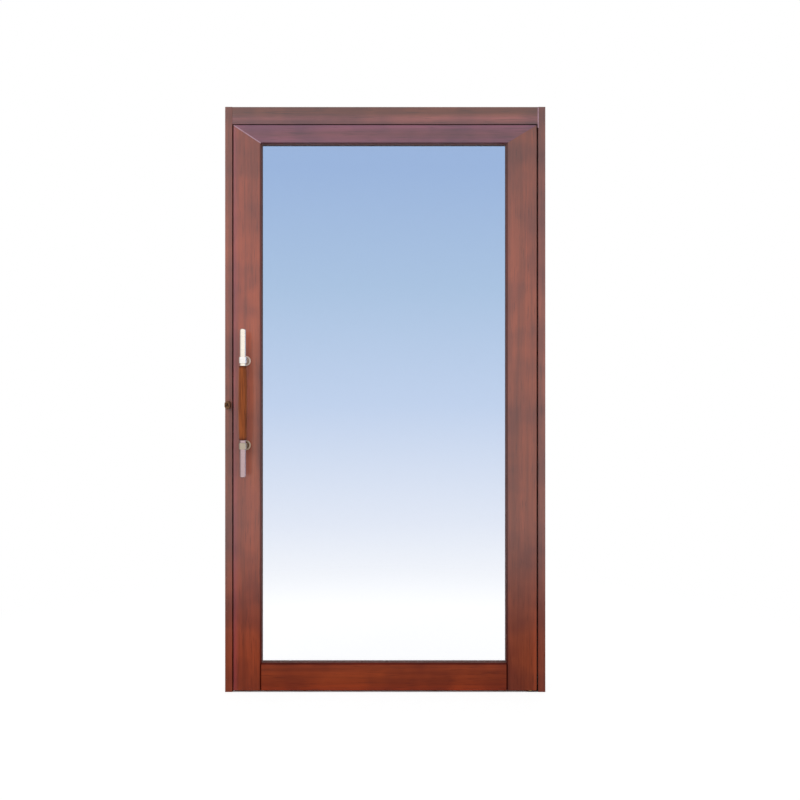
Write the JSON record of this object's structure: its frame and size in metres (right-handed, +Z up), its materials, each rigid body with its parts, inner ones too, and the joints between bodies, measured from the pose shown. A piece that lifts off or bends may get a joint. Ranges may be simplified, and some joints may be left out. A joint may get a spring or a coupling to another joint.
{
  "type": "elevator door",
  "caption": "Glazed timber swing door of a lift in its own slim frame, hung on concealed pivots, with a pull handle and a key-operated bolt lock in the jamb.",
  "frame": {"origin": "on the underside of the threshold, midway between the jambs", "axes": "+X to the right seen from the landing, +Y from the landing into the lift, +Z up"},
  "size_m": [1.15, 0.176, 2.1],
  "materials": {
    "mahogany": "varnished",
    "beech": "turned",
    "grip_wood": "varnished",
    "ribbed_aluminium": "extruded",
    "satin_steel": "brushed",
    "pin_steel": "ground",
    "zinc_steel": "zinc plated",
    "polished_steel": "polished",
    "dark_bronze": "patinated",
    "bush_brass": "turned",
    "seal_rubber": "extruded",
    "contact_plastic": "moulded",
    "bristle": "bristle strip",
    "tinted_glass": "laminated, tint graded from top to bottom"
  },
  "bodies": {
    "frame": {"lock_jamb": "mahogany", "hinge_jamb": "mahogany", "head": "mahogany", "threshold": "ribbed_aluminium", "corner_screws": "zinc_steel", "lock_jamb_seal": "seal_rubber", "head_seal": "seal_rubber", "top_pivot_plate": "satin_steel", "top_pivot_pin": "pin_steel", "top_pivot_screws": "zinc_steel", "bottom_pivot_bracket": "satin_steel", "bottom_pivot_pin": "pin_steel", "bottom_pivot_screws": "zinc_steel", "thrust_washer": "bush_brass", "lock_case": "satin_steel", "lock_faceplate": "satin_steel", "faceplate_screws": "zinc_steel", "key_escutcheon": "dark_bronze", "contact_socket": "contact_plastic"},
    "key": {"key_plug": "dark_bronze"},
    "bolt": {"lock_bolt": "satin_steel"},
    "leaf": {"lock_stile": "mahogany", "hinge_stile": "mahogany", "top_rail": "mahogany", "bottom_rail": "mahogany", "rail_dowels": "beech", "mitre_keys": "beech", "glass": "tinted_glass", "front_gasket": "seal_rubber", "rear_gasket": "seal_rubber", "bead_top": "mahogany", "bead_bottom": "mahogany", "bead_lock_side": "mahogany", "bead_hinge_side": "mahogany", "bead_screws": "zinc_steel", "setting_blocks": "seal_rubber", "top_pivot_bush": "bush_brass", "bottom_pivot_bush": "bush_brass", "closer_barrel": "satin_steel", "strike_plate": "satin_steel", "strike_screws": "zinc_steel", "contact_block": "contact_plastic", "contact_prongs": "bush_brass", "brush_holder": "ribbed_aluminium", "bottom_brush": "bristle", "handle_tube": "polished_steel", "handle_grip": "grip_wood", "upper_cap": "polished_steel", "lower_cap": "polished_steel", "upper_standoff": "polished_steel", "lower_standoff": "polished_steel", "upper_rosette": "polished_steel", "lower_rosette": "polished_steel", "handle_bolts": "polished_steel"}
  },
  "joints": [
    {"name": "leaf_swing", "type": "hinge", "parent": "frame", "child": "leaf", "pos_m": [0.521, -0.044, 0.006], "axis": [0, 0, 1], "range_deg": [0, 95], "stiffness_Nm_per_rad": 12, "springref_deg": -57.3},
    {"name": "key_turn", "type": "hinge", "parent": "frame", "child": "key", "pos_m": [-0.563, -0.06, 1.03], "axis": [0, 1, 0], "range_deg": [0, 90]},
    {"name": "bolt_slide", "type": "slide", "parent": "frame", "child": "bolt", "axis": [1, 0, 0], "range_m": [0, 0.01]}
  ],
  "couplings": [
    {"joint": "key_turn", "follows": "bolt_slide", "rad_per_m": 157.08}
  ]
}
